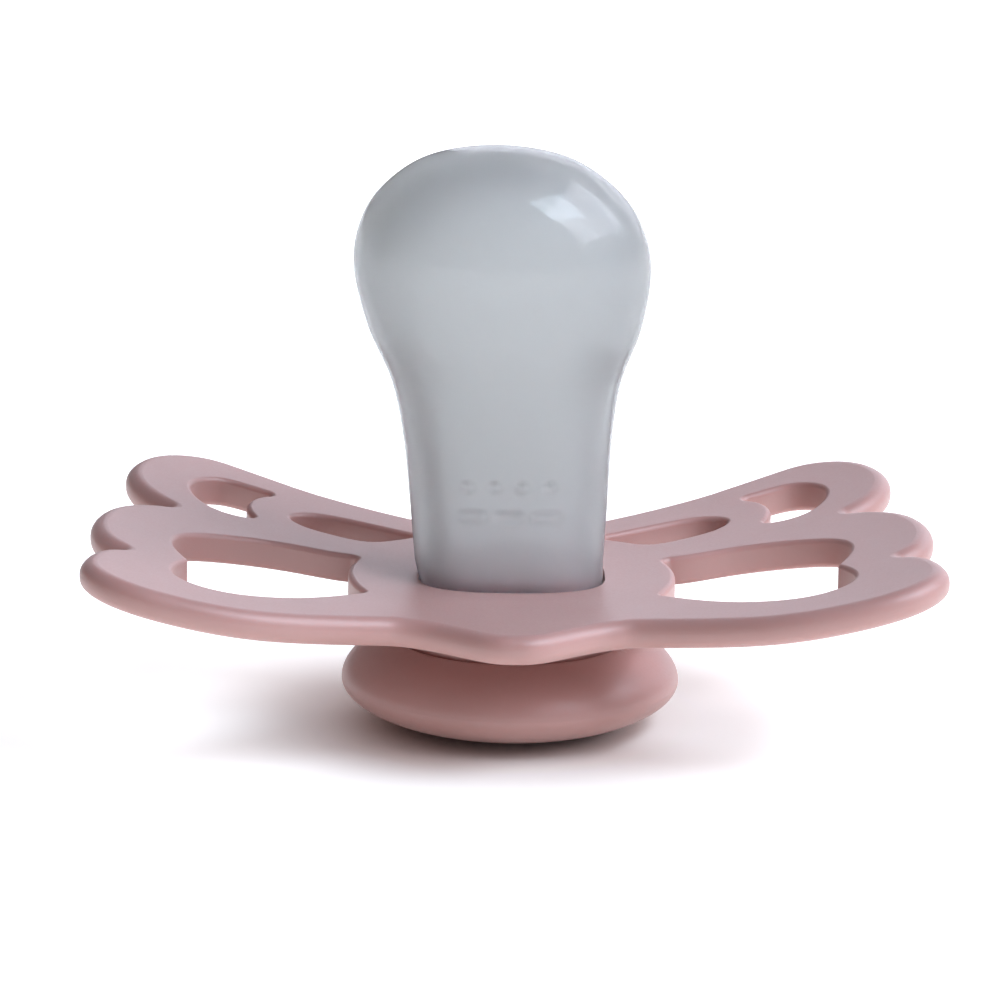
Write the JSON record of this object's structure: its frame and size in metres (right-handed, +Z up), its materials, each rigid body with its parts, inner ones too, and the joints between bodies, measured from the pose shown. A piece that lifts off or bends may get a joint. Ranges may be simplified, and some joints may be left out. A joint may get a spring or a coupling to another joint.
{
  "type": "pacifier",
  "caption": "Pacifier with a butterfly-shaped vented shield dished towards the face, a hollow translucent teat with a flattened bulb, and a round knob that it stands on.",
  "frame": {"origin": "centre of the knob's flat resting face", "axes": "+Z up along the teat towards its tip, +X along the wings, -Y towards the chin side of the shield"},
  "size_m": [0.053, 0.0358, 0.0367],
  "materials": {
    "shield_plastic": "satin moulded polypropylene, dusty pink",
    "silicone": "smooth translucent silicone, faint grey",
    "plug_plastic": "moulded polypropylene, dusty pink",
    "knob_plastic": "satin moulded polypropylene, dusty pink"
  },
  "bodies": {
    "root": {"shield": "shield_plastic", "teat": "silicone", "plug": "plug_plastic", "knob_cap": "knob_plastic"}
  },
  "joints": []
}
